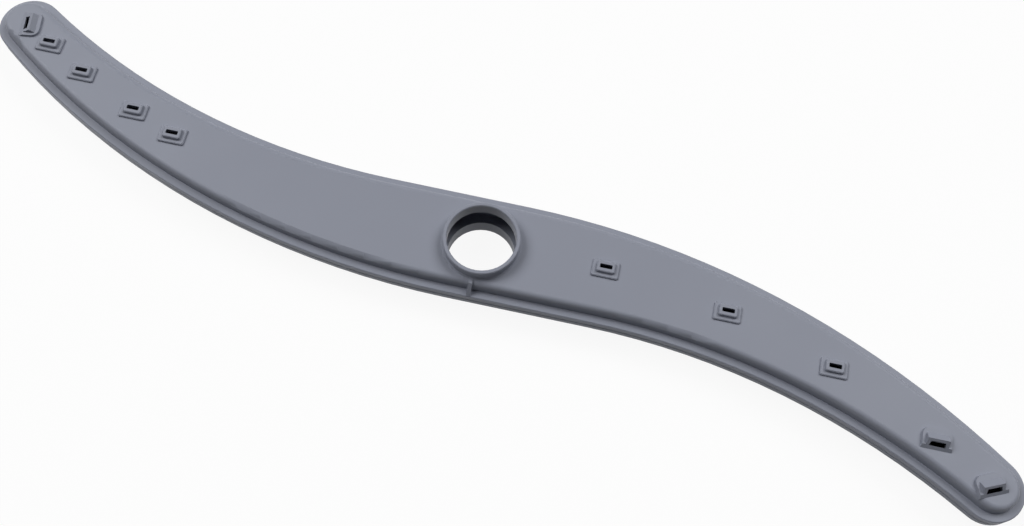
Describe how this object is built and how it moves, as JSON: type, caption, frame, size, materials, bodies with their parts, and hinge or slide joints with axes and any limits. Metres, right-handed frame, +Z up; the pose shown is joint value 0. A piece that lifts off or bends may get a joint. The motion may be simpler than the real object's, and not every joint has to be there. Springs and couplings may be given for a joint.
{
  "type": "dishwasher spray arm",
  "caption": "S-curved hollow dishwasher spray arm of two welded plastic shells, with a through hub bore, stepped slot nozzles and hooded jet nozzles.",
  "frame": {"origin": "on the hub axis, at the end of the lower collar that the arm rests on", "axes": "+Z up along the hub axis, towards the nozzles; +X along the straight run of the arm at the hub"},
  "size_m": [0.4742, 0.1461, 0.0256],
  "materials": {
    "arm_plastic": "fine satin moulded polypropylene"
  },
  "bodies": {
    "root": {"upper_shell": "arm_plastic", "lower_shell": "arm_plastic"}
  },
  "joints": []
}
